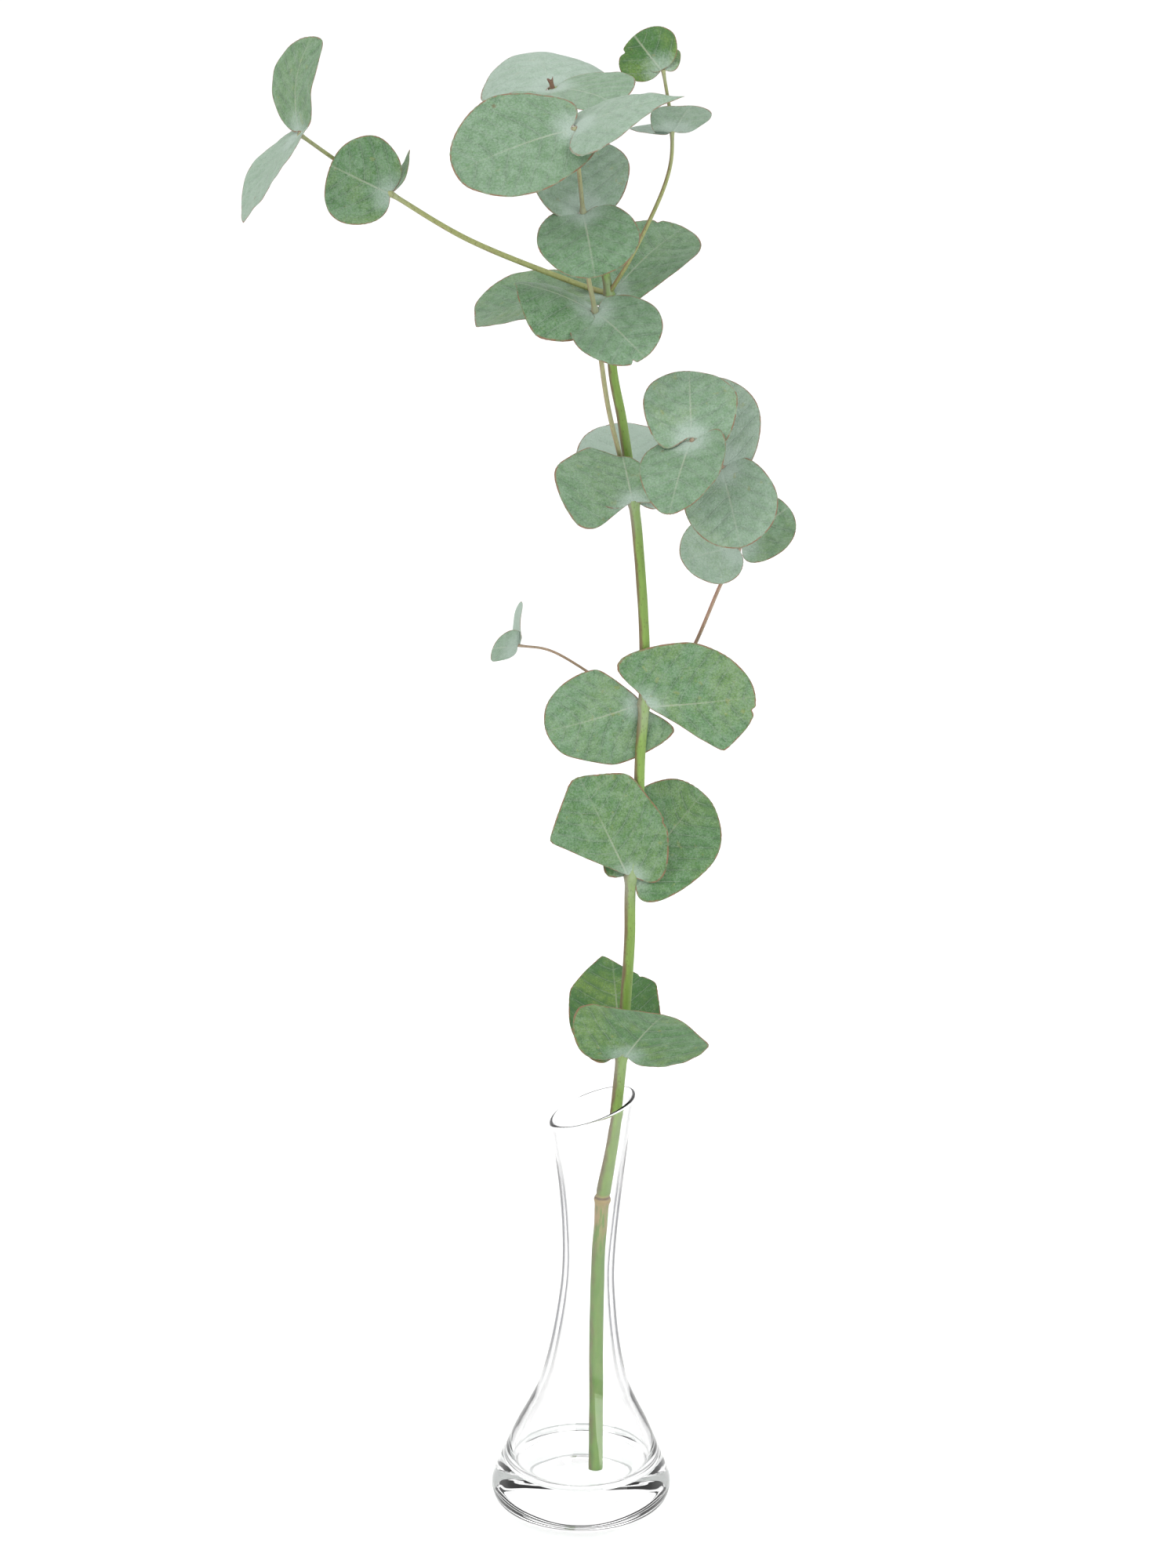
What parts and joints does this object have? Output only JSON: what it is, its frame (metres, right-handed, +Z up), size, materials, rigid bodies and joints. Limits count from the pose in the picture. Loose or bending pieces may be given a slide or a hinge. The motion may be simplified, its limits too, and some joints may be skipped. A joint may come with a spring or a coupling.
{
  "type": "eucalyptus branch in a glass bottle",
  "caption": "Cut branch of round-leaved eucalyptus with paired blue-green leaves and thin side shoots, standing in a small clear glass bud bottle with a slanted rim.",
  "frame": {"origin": "middle of the bottle's flat foot, on the surface that it stands on", "axes": "+Z up along the branch, +X towards the high side of the slanted rim, -Y is the front, from which the long side shoot is on the left"},
  "size_m": [0.1744, 0.1236, 0.5033],
  "materials": {
    "glass": "clear, polished",
    "stem": "fresh green bark, pinkish brown on one side, satin",
    "twig": "thin tan bark, satin",
    "leaf": "waxy blue-green bloom, matt"
  },
  "bodies": {
    "root": {"bottle": "glass", "main_stem": "stem", "front_shoot": "twig", "right_shoot": "twig", "left_sprig": "twig", "left_shoot": "twig", "upper_shoot": "twig", "leaf_first_front": "leaf", "leaf_first_back": "leaf", "leaf_second_front": "leaf", "leaf_second_back": "leaf", "leaf_third_left": "leaf", "leaf_third_right": "leaf", "leaf_fourth_front": "leaf", "leaf_fourth_back": "leaf", "leaf_fifth_left": "leaf", "leaf_fifth_right": "leaf", "leaf_top_back": "leaf", "leaf_top_right": "leaf", "leaf_front_low_left": "leaf", "leaf_front_low_right": "leaf", "leaf_front_middle_back": "leaf", "leaf_front_middle_front": "leaf", "leaf_front_top_left": "leaf", "leaf_front_top_right": "leaf", "leaf_right_low_left": "leaf", "leaf_right_low_right": "leaf", "leaf_right_middle_down": "leaf", "leaf_right_middle_up": "leaf", "leaf_right_top_up": "leaf", "leaf_right_top_down": "leaf", "leaf_sprig_up": "leaf", "leaf_sprig_down": "leaf", "leaf_left_near_front": "leaf", "leaf_left_near_back": "leaf", "leaf_left_far_up": "leaf", "leaf_left_far_down": "leaf", "leaf_upper_near_front": "leaf", "leaf_upper_near_back": "leaf", "leaf_upper_tip_front": "leaf", "leaf_upper_tip_back": "leaf"}
  },
  "joints": []
}
